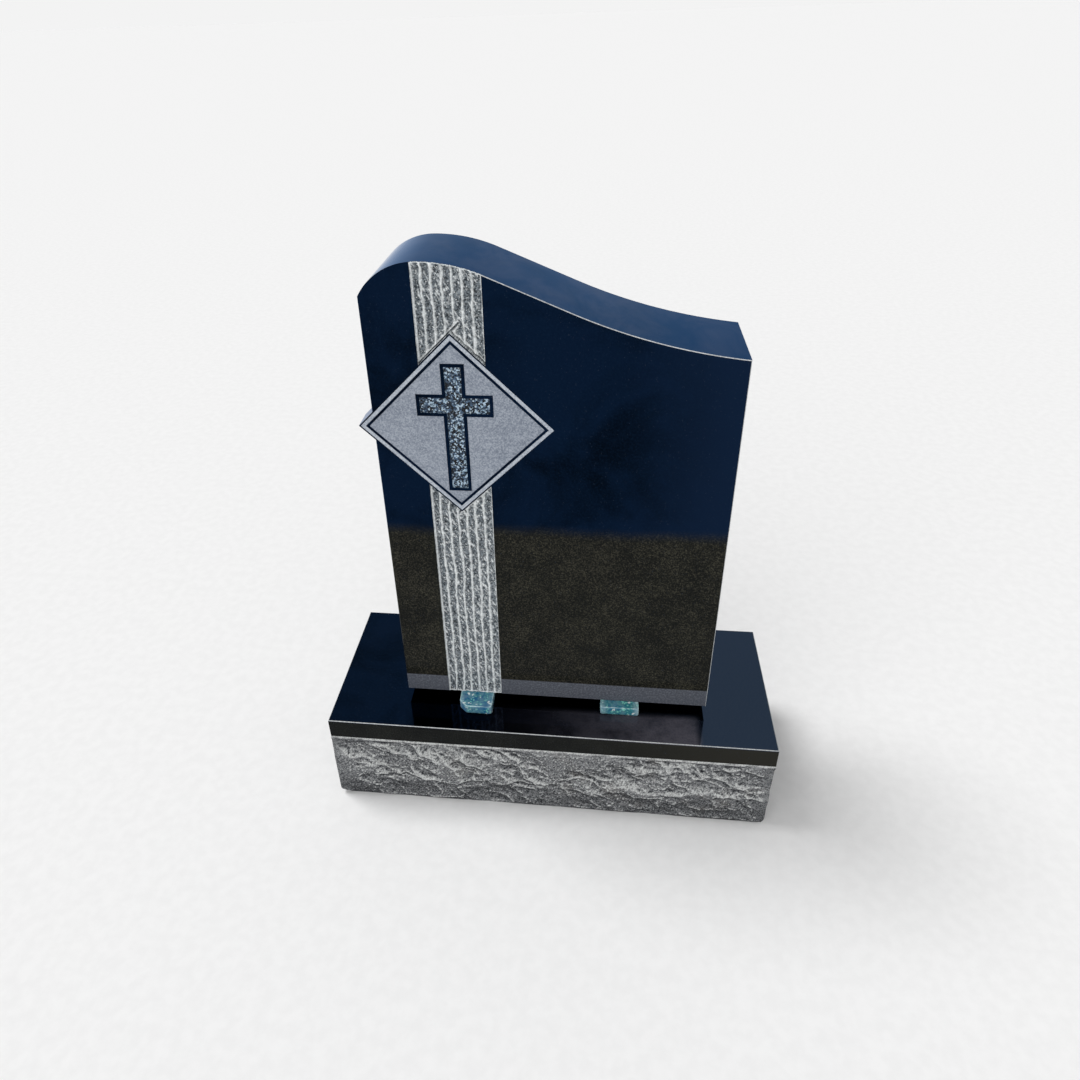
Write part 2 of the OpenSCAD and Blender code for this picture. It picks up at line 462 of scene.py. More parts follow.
def rock_pitched():
    """Split granite: mid grey and granular, with painted shade in the hollows, painted light on
    faces turned up, and pale edges that are partly bruised and partly a painted highlight.
    """
    m = Looks("rock_pitched_granite", Specular_IOR_Level=0.2)
    tone = broken_tone(m, 380, 520)
    color = m.mix(tone, srgb(58, 60, 64), srgb(146, 148, 150))
    brown = m.range(m.noise(9, 3.0, 0.6), 0.55, 0.75, 0.0, 0.3)
    color = m.mix(brown, color, srgb(118, 110, 98))
    bruise_and_painted_light = m.attribute("pale")
    # Painted shade: low pale values darken the hollows and creases.
    hollow = m.range(bruise_and_painted_light, PLAIN, 0.05, 0.0, 0.95)
    color = m.mix(m.times(hollow, m.range(tone, 0, 1, 1.0, 0.7)), color, srgb(32, 34, 38))
    # High pale values whiten faces turned up and edges: partly bruising, partly a painted
    # highlight.
    bruise_and_painted_highlight = m.times(m.range(bruise_and_painted_light, PLAIN, 0.85), m.range(tone, 0, 1, 0.4, 1.0))
    color = m.mix(bruise_and_painted_highlight, color, srgb(220, 222, 221))
    grit = m.bump(m.noise(480, 5.0, 0.85), 0.0019, 0.9)
    return m.finish(color, m.range(tone, 0, 1, 0.88, 0.66), grit)


def block_glass():
    """Blue-green cast glass, cloudy, with pale bubbles, and pale broken edges that are partly a
    painted highlight.
    """
    m = Looks("block_glass", Transmission_Weight=0.12, IOR=1.5)
    swirl = m.range(m.noise(60, 4.0, 0.6, 1.0), 0.40, 0.60)
    greener = m.range(m.along("X"), -0.05, 0.05, 0.4, 0.8)
    color = m.mix(m.mix(0.6, swirl, greener), srgb(36, 94, 154), srgb(58, 142, 148))
    color = m.dots(color, srgb(136, 226, 204), (200, 0.46, 0.30), (95, 2.0),
                   (0.48, 0.58, 0.0, 0.85))
    color = m.dots(color, srgb(238, 248, 246), (120, 0.50, 0.36), (70, 1.0), (0.55, 0.58))
    # The pale attribute: edges partly chipped and partly a painted highlight, and pale ends.
    color = m.mix(m.attribute("pale"), color, srgb(214, 244, 246))
    dents = m.bump(m.noise(160, 3.0, 0.6), 0.002, 0.5)
    return m.finish(color, m.range(swirl, 0, 1, 0.12, 0.3), dents)


MATERIALS = {
    # high and hazy tint the painted sky reflection; low is the painted reflection of dark ground.
    "polished": polished_granite(
        "polished_tablet_granite", high=srgb(10, 25, 46), hazy=srgb(18, 33, 56),
        low=srgb(24, 25, 23), spark=srgb(70, 68, 58), turn=0.588, blur=(0.03, 0.30), ground_reflection_top=0.258),
    "polished base": polished_granite(
        "polished_base_granite", high=srgb(8, 20, 37), hazy=srgb(42, 53, 68),
        low=srgb(22, 23, 22), spark=srgb(46, 47, 43), turn=0.1975, blur=(0.0015, 0.0015),
        tablet_reflection_and_brown_margin=True),
    "arris": frosted("arris_granite", srgb(150, 154, 158), srgb(212, 214, 214)),
    "border": frosted("frosted_border", srgb(146, 155, 168), srgb(200, 206, 214)),
    "field": frosted("frosted_field", srgb(108, 117, 132), srgb(170, 177, 188)),
    "band": chiselled("chiselled_granite", srgb(38, 43, 48), srgb(130, 139, 146),
                      srgb(250, 254, 255)),
    "cross": pecked(),
    "rock": rock_pitched(),
    "glass": block_glass(),
}


# --- Tablet ---
# Worked in the tablet's own frame: x from its left side, y back from its face, z up.

BAND_X0 = MOTIF_X - BAND_W / 2
BAND_X1 = MOTIF_X + BAND_W / 2
BAND_COLUMNS = 140            # an even number, so that one column runs through the middle
UPPER_ROWS = 130
LOWER_ROWS = 390
KERF_W = 1.2 * MM             # saw cut along the diamond's edges
KERF_DEPTH = 3.5 * MM
OVERCUT = 12 * MM             # how far the saw ran past the diamond's upper point


def points_at(x, y, z):
    """Points in a grid or a row, from coordinates that broadcast together."""
    return np.stack(np.broadcast_arrays(np.asarray(x, float), y, z), -1)


def from_saw_cut(x, z):
    """Distance from the diamond's edges and from the saw's overcuts past its points."""
    up = z - DIAMOND_Z
    aside = x - MOTIF_X
    from_edge = (np.abs(up) + np.abs(aside) - DIAMOND_R) / math.sqrt(2)
    past_point = np.where((aside > 0) & (aside < OVERCUT) & (up > 0),
                          np.abs(up - aside - DIAMOND_R) / math.sqrt(2), 1.0)
    past_foot = np.where((np.abs(aside) < 0.5 * OVERCUT) & (up < 0),
                         np.abs(np.abs(aside) + up + DIAMOND_R) / math.sqrt(2), 1.0)
    return np.minimum(np.minimum(from_edge, past_point), past_foot)


def band_relief(x, z):
    """Depth below the face of the chiselled band, and how pale each place is."""
    across = (x - BAND_X0) / BAND_W
    held = np.clip(np.minimum(across, 1 - across) * 14, 0, 1)
    wander = (0.17 * rough(across * 3, z / (45 * MM), 0, 3, 3)
              + 0.10 * rough(across * 9, z / (9 * MM), 0, 9, 3, 0.7)) * held
    flute = across * FLUTES + wander
    number = np.round(flute)
    from_ridge = np.abs(flute - number)
    hollow = 1 - (1 - 2 * from_ridge) ** 2
    from_top = wave(x) - z
    open_end = 1 - 0.75 * ramp(np.minimum(from_top, z + 2 * MM), 14 * MM, 0)
    depth = (RIDGE_SUNK + FLUTE_DEPTH * hollow) * open_end
    breadth = 0.20 + 0.08 * noise(number * 5.3, z / (5 * MM), 0, 15)
    crest = ramp(from_ridge, breadth, 0.03)
    broken = ramp(noise(number * 9.7, z / (6 * MM), 0, 5), 0.0, 0.6) * crest
    depth = depth + 1.3 * MM * broken
    grain = rough(x / (3.4 * MM), z / (4.2 * MM), 0, 11, 3, 0.6)
    slash = rough((x + 0.5 * z) / (2.2 * MM), (z - 0.5 * x) / (9 * MM), 0, 23, 2)
    depth = depth + 0.95 * MM * grain + 0.7 * MM * slash
    fresh = 0.35 * ramp(-grain, 0.2, 0.5) + 0.8 * ramp(-slash, 0.3, 0.6)
    pale = crest * (1 - 0.35 * broken) + fresh * (1 - crest)
    rim = np.minimum(np.minimum(z, from_top) - 0.8 * MM, BAND_X1 - x)
    pale = np.maximum(pale, ramp(np.minimum(rim, x - BAND_X0 - 1.4 * MM), 1.1 * MM, 0.3 * MM))
    cut_away = from_saw_cut(x, z)
    kerf = ramp(cut_away, KERF_W + 0.8 * MM, KERF_W - 0.5 * MM)
    lip = ramp(cut_away, KERF_W + 4 * MM, KERF_W + 1.2 * MM) - kerf
    depth = depth * (1 - kerf) + (RIDGE_SUNK + FLUTE_DEPTH + KERF_DEPTH) * kerf
    chips = ramp(noise(x / (4 * MM), z / (4 * MM), 0, 29), 0.1, 0.6)
    chips = chips * ramp(cut_away, 9 * MM, 3 * MM)
    pale = np.clip(pale + 0.8 * lip + 0.7 * chips, 0, 1) * (1 - kerf)
    return depth, pale


def square_ring(radius_out, radius_in, y, extra=()):
    """The four flat sides between two nested diamonds, with any extra points that stand on
    the outer edge."""
    corners = [(1, 0), (0, 1), (-1, 0), (0, -1)]
    for k in range(4):
        a, b = np.array(corners[k]), np.array(corners[(k + 1) % 4])
        start, end = a * radius_out, b * radius_out
        toward = b - a
        between = sorted((p for p in extra if (np.array(p) - start) @ toward > HAIR
                          and abs((a + b) @ np.array(p) - radius_out) < HAIR
                          and (np.array(p) - end) @ toward < -HAIR),
                         key=lambda p: np.array(p) @ toward)
        loop = [start, *between, end, b * radius_in, a * radius_in]
        yield [(MOTIF_X + p[0], y, DIAMOND_Z + p[1]) for p in loop]


def cross_lines():
    """The x and z lines of the cross's mesh, about a millimetre apart."""
    bar, arm = CROSS_BAR / 2, CROSS_W / 2

    def steps(*ends):
        parts = [np.linspace(a, b, max(2, round((b - a) / MM) + 1))
                 for a, b in zip(ends, ends[1:])]
        return np.unique(np.round(np.concatenate(parts), 7))
    return (steps(-arm, -bar, bar, arm),
            steps(HEAD_UP - CROSS_H, ARMS_UP - bar, ARMS_UP + bar, HEAD_UP))


def cross_outline(grow=0.0):
    """Corners of the cross, from its head's right corner and round to the right."""
    bar, arm = CROSS_BAR / 2 + grow, CROSS_W / 2 + grow
    top, foot = HEAD_UP + grow, HEAD_UP - CROSS_H - grow
    high, low = ARMS_UP + bar, ARMS_UP - bar
    return [(bar, top), (bar, high), (arm, high), (arm, low), (bar, low), (bar, foot),
            (-bar, foot), (-bar, low), (-arm, low), (-arm, high), (-bar, high), (-bar, top)]


def add_cross_floor(stone, xs, zs):
    """The pecked floor. Returns its whole grid of points."""
    grid_x, grid_z = np.meshgrid(xs, zs)
    peck = rough(grid_x / (5 * MM), grid_z / (5 * MM), 0, 41, 4, 0.65)
    chips = np.abs(noise(grid_x / (3.1 * MM), grid_z / (3.1 * MM), 0, 47))
    depth = CROSS_SUNK + 1.1 * MM * peck + 0.7 * MM * (0.4 - chips)
    grid = points_at(MOTIF_X + grid_x, depth, DIAMOND_Z + grid_z)
    pale = ramp(-peck, 0.28, 0.6) * 0.8
    bar = CROSS_BAR / 2 + 0.01 * MM
    upright, arms = np.abs(xs) < bar, np.abs(zs - ARMS_UP) < bar
    index = np.arange(grid_x.size).reshape(grid_x.shape)
    faces = [(index[r, c], index[r, c + 1], index[r + 1, c + 1], index[r + 1, c])
             for r in range(len(zs) - 1) for c in range(len(xs) - 1)
             if (upright[c] and upright[c + 1]) or (arms[r] and arms[r + 1])]
    used = sorted({i for f in faces for i in f})
    new = {old: k for k, old in enumerate(used)}
    stone.add(grid.reshape(-1, 3)[used], [[new[i] for i in f] for f in faces], "cross",
              pale.ravel()[used])
    return grid


def cross_edge(xs, zs):
    """The mesh lines' crossings along the cross's outline, and where each side starts."""
    edge, starts = [], []
    corners = cross_outline()
    for a, b in zip(corners, corners[1:] + corners[:1]):
        starts.append(len(edge))
        line, fixed = (zs, 1) if abs(a[0] - b[0]) < HAIR else (xs, 0)
        low, high = sorted((a[fixed], b[fixed]))
        stops = [v for v in line if low - HAIR < v < high + HAIR]
        if a[fixed] > b[fixed]:
            stops.reverse()
        edge += [(a[0], v) if fixed else (v, a[1]) for v in stops[:-1]]
    return edge, starts


def add_cross(stone, y_field):
    """The pecked cross, its walls and the polished rim round it, standing at the face."""
    xs, zs = cross_lines()
    grid = add_cross_floor(stone, xs, zs)
    # The rim follows the mesh's own edge points, so that no seam stays open
    edge, starts = cross_edge(xs, zs)
    low_edge = [tuple(grid[np.abs(zs - z).argmin(), np.abs(xs - x).argmin()]) for x, z in edge]
    high_edge = [(p[0], 0.0, p[2]) for p in low_edge]
    ring_walls(stone, (high_edge, low_edge), "cross", 0.15)
    rim = [(MOTIF_X + x, 0.0, DIAMOND_Z + z) for x, z in cross_outline(CROSS_RIM)]
    count = len(edge)
    for k, (first, last) in enumerate(zip(starts, starts[1:] + [count])):
        run = [high_edge[i % count] for i in range(first, last + 1)]
        middle, near, far = len(run) // 2, len(run), len(run) + 1
        faces = [(i, i + 1, near if i < middle else far) for i in range(len(run) - 1)]
        stone.add(run + [rim[k], rim[(k + 1) % len(rim)]], faces + [(middle, far, near)],
                  "polished")
    rim_foot = [(x, y_field, z) for x, y, z in rim]
    ring_walls(stone, (rim, rim_foot), "polished")
    return rim_foot


def ring_walls(stone, loops, finish, shades=0.0):
    """The small upright steps between two loops of points that lie at different depths."""
    high, low = loops
    count = len(high)
    stone.add(list(high) + list(low),
              [(i, (i + 1) % count, count + (i + 1) % count, count + i) for i in range(count)],
              finish, shades)


def diamond_loop(radius, y):
    """The diamond's four points, a radius from its centre."""
    return [(MOTIF_X + x * radius, y, DIAMOND_Z + z * radius)
            for x, z in ((1, 0), (0, 1), (-1, 0), (0, -1))]


def add_diamond(stone, edge_points):
    """Polished edge, frosted border, polished line, frosted field and cross."""
    for outer, inner, y, finish, wall in (
            (DIAMOND_R, BORDER_OUT, 0.0, "polished", "border"),
            (BORDER_OUT, BORDER_IN, FROST_SUNK, "border", "polished"),
            (BORDER_IN, FIELD_OUT, 0.0, "polished", "polished")):
        for loop in square_ring(outer, inner, y, edge_points):
            stone.flat(loop, finish)
        next_y = FROST_SUNK - y
        ring_walls(stone, (diamond_loop(inner, y), diamond_loop(inner, next_y)), wall)
    hole = add_cross(stone, FROST_SUNK)
    stone.flat(diamond_loop(FIELD_OUT, FROST_SUNK), "field", [hole])


def outline_points(band_x):
    """The tablet's outline from in front, anticlockwise from its lower left corner: points,
    and what each is: plain, band (inside the carved band), band edge, or lug, where the
    diamond's point leaves the left side."""
    left_arc = [CREST_X - CREST_R * math.sin(a) for a in
                np.linspace(math.asin(CREST_X / CREST_R),
                            math.asin((CREST_X - BAND_X0) / CREST_R), 40)[:-1]]
    right_top = [*np.linspace(BAND_X1, SHOULDER_END[0], 4)[1:],
                 *np.linspace(SHOULDER_END[0], HOLLOW_START[0], 12)[1:],
                 *np.linspace(HOLLOW_START[0], TABLET_W, 40)[1:]]
    band = ["band edge"] + ["band"] * (len(band_x) - 2) + ["band edge"]
    run = [((0.0, 0.0), "plain")]
    run += [((x, 0.0), kind) for x, kind in zip(band_x, band)]
    run += [((TABLET_W, z), "plain") for z in np.linspace(0, RIGHT_H, 20)[:-1]]
    run += [((x, float(wave(x))), "plain") for x in right_top[::-1]]
    run += [((x, float(wave(x))), kind) for x, kind in zip(band_x[::-1], band)]
    run += [((x, float(wave(x))), "plain") for x in left_arc[::-1]]
    run += [((0.0, z), "plain") for z in np.linspace(LEFT_H, DIAMOND_Z + OVERHANG, 8)[1:-1]]
    run += [((0.0, DIAMOND_Z + OVERHANG), "lug"), ((0.0, DIAMOND_Z - OVERHANG), "lug")]
    run += [((0.0, z), "plain") for z in np.linspace(DIAMOND_Z - OVERHANG, 0, 14)[1:-1]]
    return np.array([point for point, kind in run]), [kind for point, kind in run]


def both_carved(one, next_one):
    """Whether two neighbouring kinds of outline point bound a carved place."""
    return one != "plain" and one[:4] == next_one[:4]


def inset(points, distance):
    """The outline moved inwards by a distance, corner by corner."""
    ahead = np.roll(points, -1, 0) - points
    ahead /= np.linalg.norm(ahead, axis=1)[:, None]
    inward = np.stack([-ahead[:, 1], ahead[:, 0]], 1)
    before = np.roll(inward, 1, 0)
    both = inward + before
    return points + distance * both / (1 + (inward * before).sum(1))[:, None]


def front_inset(outline, kinds, moved):
    """As inset, but kept on the band's walls and on the diamond's edges."""
    kept = moved.copy()
    for i, kind in enumerate(kinds):
        x, z = outline[i]
        if kind == "band edge":
            slope = (wave(x + MM) - wave(x - MM)) / (2 * MM)
            drop = ARRIS * math.sqrt(1 + slope ** 2)
            kept[i] = (x, z - drop) if z > 0 else (x, ARRIS)
        elif kind == "lug":
            kept[i] = (ARRIS, z + math.copysign(ARRIS, z - DIAMOND_Z))
    return kept


def add_sides(stone, outline, kinds, depths):
    """The polished top, sides and underside, with the carved places' own front edges."""
    back = TABLET_T - ARRIS

    def column(i, carved):
        ys = {"plain": [ARRIS], "lug": [ARRIS, DIAMOND_T], "band": [depths[i]],
              "band edge": [ARRIS, depths[i]]}[kinds[i]] + [back]
        ys = ys[1:] if carved and len(ys) == 3 else ys
        return [(outline[i][0], y, outline[i][1]) for y in ys]

    for i in range(len(outline)):
        j = (i + 1) % len(outline)
        carved = both_carved(kinds[i], kinds[j])
        loop = column(i, carved) + column(j, carved)[::-1]
        stone.add(loop, [range(len(loop))], "polished")


def add_band(stone):
    """The two chiselled stretches. Returns their grids of points, upper and lower."""
    xs = np.linspace(BAND_X0, BAND_X1, BAND_COLUMNS + 1)
    notch = DIAMOND_R - np.abs(xs - MOTIF_X)
    grids = []
    for low, high, rows in ((DIAMOND_Z + notch, wave(xs), UPPER_ROWS),
                            (0 * xs, DIAMOND_Z - notch, LOWER_ROWS)):
        up = np.linspace(0, 1, rows + 1)[:, None]
        z = low + (high - low) * up
        depth, pale = band_relief(np.broadcast_to(xs, z.shape), z)
        grid = points_at(xs, depth, z)
        stone.sheet(grid, "band", pale)
        grids.append(grid)
    return grids


def on_face(line, end, at_top):
    """A recess's edge on the polished face, from its line of points, up to the chamfer."""
    return [(x, 0.0, z) for x, _, z in line if (z < end if at_top else z > end)]


def add_band_walls(stone, upper, lower, ends):
    """The recess's sides, up to the polished face, and up to the diamond's edges."""
    for column, x in ((0, BAND_X0), (-1, BAND_X1)):
        for grid, at_top in ((upper, True), (lower, False)):
            line = grid[:, column]
            end = ends[(column, at_top)]
            front = on_face(line, end, at_top)
            rim = [(x, 0.0, end), (x, ARRIS, line[-1 if at_top else 0][2])]
            front = front + rim if at_top else rim[::-1] + front
            stone.flat(front + [tuple(p) for p in line[::-1]], "band", shades=0.9)
    # The walls along the diamond's edges get a painted highlight: pale 1.0 at the face, 0.7 at
    # the band.
    for row in (upper[0], lower[-1]):
        front = row.copy()
        front[:, 1] = 0
        stone.sheet(np.stack([front, row]), "band", np.array([[1.0], [0.7]]))


def add_arris(stone, outline, kinds, loop, at_front):
    """The fine chamfer between the sides and a face, buffed left of the band."""
    y_side, y_face = (ARRIS, 0.0) if at_front else (TABLET_T - ARRIS, TABLET_T)
    for i in range(len(outline)):
        j = (i + 1) % len(outline)
        if at_front and both_carved(kinds[i], kinds[j]):
            continue
        quad = [(outline[i], y_side), (loop[i], y_face), (loop[j], y_face), (outline[j], y_side)]
        buffed = max(outline[i][0], outline[j][0]) < BAND_X0 + MM
        stone.add([(p[0], y, p[1]) for p, y in quad], [(0, 1, 2, 3)],
                  "polished" if buffed else "arris")


def add_face(stone, front, kinds, ends, grids):
    """The polished face: left of the band above and below the diamond, then right of it."""
    upper, lower = grids
    count = upper.shape[1]
    top = last_band_edge(kinds)
    lug_top = kinds.index("lug")

    def outer(indices):
        return [(front[i][0], 0.0, front[i][1]) for i in indices]

    def beside(grid, column, at_top):
        return on_face(grid[:, column], ends[(column, at_top)], at_top)
    upper_left = outer(range(top, lug_top + 1)) + beside(upper, 0, True)
    lower_left = outer([*range(lug_top + 1, len(kinds)), 0, 1]) + beside(lower, 0, False)
    right = (outer(range(count, top - count + 2)) + beside(upper, -1, True)[::-1]
             + [(MOTIF_X + DIAMOND_R, 0.0, DIAMOND_Z)] + beside(lower, -1, False)[::-1])
    for loop in (upper_left, lower_left, right):
        stone.flat(loop, "polished")


def last_band_edge(kinds):
    """Where the band ends along the outline, at the top's left."""
    return len(kinds) - 1 - kinds[::-1].index("band edge")


def add_point(stone, top, foot):
    """The part of the diamond that overhangs the tablet's left side."""
    tip = [(-OVERHANG, y, DIAMOND_Z) for y in (0.0, DIAMOND_T)]
    for (x, z), sign in ((top, 1), (foot, -1)):
        root = DIAMOND_Z + sign * OVERHANG
        loop = [(x, 0.0, z), tip[0], tip[1], (0.0, DIAMOND_T, root), (0.0, ARRIS, root)]
        stone.add(loop, [range(5)], "polished")
    stone.add([tip[1], (0.0, DIAMOND_T, DIAMOND_Z + OVERHANG),
               (0.0, DIAMOND_T, DIAMOND_Z - OVERHANG)], [(0, 1, 2)], "polished")


def make_tablet():
    """The tablet: its carved band, sides, arrises, faces and diamond."""
    stone = Stone("tablet_stone", ("polished", "arris", "border", "field", "band", "cross"))
    upper, lower = add_band(stone)
    outline, kinds = outline_points([float(x) for x in upper[0, :, 0]])
    count = upper.shape[1]
    top = last_band_edge(kinds)
    depths = np.zeros(len(outline))
    depths[1:1 + count] = lower[0, :, 1]
    depths[top - count + 1:top + 1] = upper[-1, ::-1, 1]
    add_sides(stone, outline, kinds, depths)

    back = inset(outline, ARRIS)
    front = front_inset(outline, kinds, back)
    # Heights at which the face ends beside the band, by the band's column and at_top
    ends = {(0 if outline[i][0] < MOTIF_X else -1, outline[i][1] > 0): front[i][1]
            for i, kind in enumerate(kinds) if kind == "band edge"}
    add_arris(stone, outline, kinds, front, True)
    add_arris(stone, outline, kinds, back, False)
    stone.flat([(x, TABLET_T, z) for x, z in back], "polished")
    add_band_walls(stone, upper, lower, ends)
    add_face(stone, front, kinds, ends, (upper, lower))

    lug = [front[kinds.index("lug")], front[kinds.index("lug") + 1]]
    on_edge = [(x, z) for x, _, z in (*upper[0], *lower[-1])] + [tuple(point) for point in lug]
    add_diamond(stone, [(x - MOTIF_X, z - DIAMOND_Z) for x, z in on_edge])
    add_point(stone, *lug)
    return stone.build(TABLET_ORIGIN)


# --- Base ---
# Its rim is followed anticlockwise from the front left corner, a distance s along it.

BASE_W = BASE_HI.x - BASE_LO.x - 2 * ROCK_PROUD
BASE_D = BASE_HI.y - BASE_LO.y - 2 * ROCK_PROUD
BASE_H = BASE_HI.z - BASE_LO.z
ROCK_H = BASE_H - MARGIN_H
RIM = 2 * (BASE_W + BASE_D)
ROCK_ROWS = 96
SIDES = ((BASE_W, 560), (BASE_D, 110), (BASE_W, 170), (BASE_D, 110))   # length, columns
FORWARD = np.array([(1, 0), (0, 1), (-1, 0), (0, -1)])
OUTWARD = np.array([(0, -1), (1, 0), (0, 1), (-1, 0)])
CORNERS = np.array([(-1, -1), (1, -1), (1, 1), (-1, 1)]) * (BASE_W / 2, BASE_D / 2)
FLAKES = ((130, 80 * MM, 34 * MM, 10 * MM),     # how many, long and short reach, depth
          (420, 36 * MM, 17 * MM, 5 * MM),
          (1500, 15 * MM, 8 * MM, 2.2 * MM))
LEDGE_Z = 56 * MM             # below this wavering line the side is undercut
ROUND_OFF = 9 * MM            # how far from a corner the outward direction starts to turn


def split_surface(s, z):
    """Depth of the split surface: flakes struck off side by side, each a tilted shallow bowl
    that meets its neighbours in sharp edges."""
    random = np.random.default_rng(7)
    wander = 11 * MM * rough(s / (34 * MM), z / (26 * MM), 0, 61, 4, 0.5)
    drift = 9 * MM * rough(s / (34 * MM), z / (26 * MM), 5, 67, 4, 0.5)
    depth = np.zeros_like(s)
    for count, long_reach, short_reach, cut in FLAKES:
        deepest = np.full_like(s, -9.0)
        for _ in range(count):
            at_s = random.uniform(0, RIM)
            at_z = random.uniform(-0.15, 1.15) * ROCK_H
            turn = math.radians(random.uniform(-55, 5))
            size = random.uniform(0.55, 1.5)
            lean = random.uniform(0.2, 1.3)
            tip = random.uniform(-0.6, 0.6)
            ds = (s[0] - at_s + RIM / 2) % RIM - RIM / 2
            near = np.abs(ds) < 3.5 * long_reach * size + 12 * MM
            ds = ds[near] + wander[:, near]
            dz = z[:, near] - at_z + drift[:, near]
            along = (ds * math.cos(turn) + dz * math.sin(turn)) / (long_reach * size)
            across = (dz * math.cos(turn) - ds * math.sin(turn)) / (short_reach * size)
            flake = cut * (1 - along ** 2 - across ** 2 + lean * across + tip * along) * size
            deepest[:, near] = np.maximum(deepest[:, near], flake)
        depth += deepest
    return depth


def rock_relief(s, z):
    """How far the pitched side lies out from the margin's plane."""
    ledge = (LEDGE_Z + 16 * MM * noise(s / (95 * MM), 0, 0, 51)
             + 8 * MM * rough(s / (34 * MM), z / (60 * MM), 0, 53, 3))
    step = 4.5 * MM * ramp(noise(s / (60 * MM), 0, 0, 57), -0.6, 0.3)
    above = np.clip((z - ledge) / (ROCK_H - ledge), 0, 1)
    below = np.clip(ledge - z, 0, None)
    profile = 4.0 * MM * (1 - above) - step * ramp(below, 0, 7 * MM) - 0.012 * below
    cut = split_surface(s, z)
    grain = (0.8 * MM * rough(s / (9 * MM), z / (9 * MM), 0, 71, 3, 0.62)
             + 0.6 * MM * rough(s / (3.2 * MM), z / (3.2 * MM), 3, 73, 2, 0.7))
    calm = 1 - 0.5 * ramp(below, 0, 10 * MM)
    depth = (0.8 * cut - 17 * MM) * calm - profile + 8.5 * MM
    depth = 0.5 * (depth + np.sqrt(depth ** 2 + (1.2 * MM) ** 2))
    depth = np.clip(depth + 0.8 * MM - grain, 0.05 * MM, 17 * MM)
    return ROCK_PROUD - depth


def spread(a, times):
    """The grid smoothed, round the rim and up and down."""
    for _ in range(times):
        a = (np.roll(a, 1, 1) + np.roll(a, -1, 1) + 2 * a) / 4
        a[1:-1] = (a[2:] + a[:-2] + 2 * a[1:-1]) / 4
    return a


def bruise_and_painted_light(out):
    """How pale each place is: painted light on faces turned up, pale ridges and edges that are
    partly bruised and partly a painted highlight, over painted shade in hollows and creases.
    """
    rise = -np.gradient(out, axis=0) / (ROCK_H / ROCK_ROWS)
    broad = spread(rise, 3)
    edge = out - spread(out, 2)
    ridge = spread(out, 2) - spread(out, 9)
    return np.clip(PLAIN + 0.30 * np.clip(broad, -0.8, 0.7) + 0.33 * np.clip(rise, -0.9, 1)
                   + 0.22 * ramp(ridge, 0.1 * MM, 0.8 * MM)
                   - 0.26 * ramp(-ridge, 0.1 * MM, 0.8 * MM)
                   + 0.75 * ramp(edge, 0.1 * MM, 0.42 * MM)
                   - 0.60 * ramp(-edge, 0.1 * MM, 0.42 * MM), 0, 1)


def outward_at(side, along, length):
    """The outward direction at a place along a side, turned half way to the next at a corner."""
    nearest, other = (along, side - 1) if along < length / 2 else (length - along, side + 1)
    share = 0.5 * (1 + min(nearest / ROUND_OFF, 1))
    return share * OUTWARD[side] + (1 - share) * OUTWARD[other % len(SIDES)]


def rim_columns():
    """Distance along the rim, place in plan and outward direction, for each column."""
    distance, place, outward = [], [], []
    start = 0.0
    for side, (length, columns) in enumerate(SIDES):
        for k in range(columns):
            along = length * k / columns
            distance.append(start + along)
            place.append(CORNERS[side] + FORWARD[side] * along)
            outward.append(outward_at(side, along, length))
        start += length
    return np.array(distance), np.array(place), np.array(outward)


def pitched_sides(distance):
    """Height, distance out from the margin and paleness over the pitched sides."""
    z = np.linspace(0, ROCK_H, ROCK_ROWS + 1)[:, None]
    s, tall = np.broadcast_arrays(distance, z)
    out = rock_relief(s, tall)
    turns = (0, BASE_W, BASE_W + BASE_D, 2 * BASE_W + BASE_D, RIM)
    from_corner = np.abs(distance[:, None] - turns).min(1)
    from_front_left = np.minimum(distance, RIM - distance)
    corner = 0.75 * ramp(from_corner, 26 * MM, 4 * MM)
    corner_out = 1.5 * MM - 3.5 * MM * ramp(from_front_left, 0.1, 0.4)
    out = out * (1 - corner) + corner_out * corner
    foot = 0.85 * ramp(tall, 9 * MM, 0)
    out = out * (1 - foot) - 5 * MM * foot
    lip = ramp(tall, ROCK_H - 13 * MM, ROCK_H - 3 * MM)
    out = out * (1 - lip) + 1.2 * MM * lip
    # Darker below the ledge, where the side is undercut: painted shade under the overhang.
    pale = bruise_and_painted_light(out) + 0.05 - 0.2 * ramp(tall, LEDGE_Z + 12 * MM, LEDGE_Z - 22 * MM)
    # A painted highlight along the shelf just under the margin, uneven along the rim.
    fresh = 0.78 + 0.22 * noise(s / (8 * MM), 0, 0, 83)
    pale = np.maximum(pale, ramp(tall, ROCK_H - 5 * MM, ROCK_H - 2.5 * MM) * fresh)
    shelf = ramp(tall, ROCK_H - 3 * MM, ROCK_H - MM)
    out = out - 1.0 * MM * shelf * lip
    worn = 5 * MM * ramp(from_corner, 12 * MM, 0) + 3 * MM * ramp(from_front_left, 12 * MM, 0)
    out = out - worn * ramp(tall, 16 * MM, 0)
    return tall, out, pale


def closed(grid):
    """The grid with its first column again at its end."""
    return np.concatenate([grid, grid[:, :1]], 1)


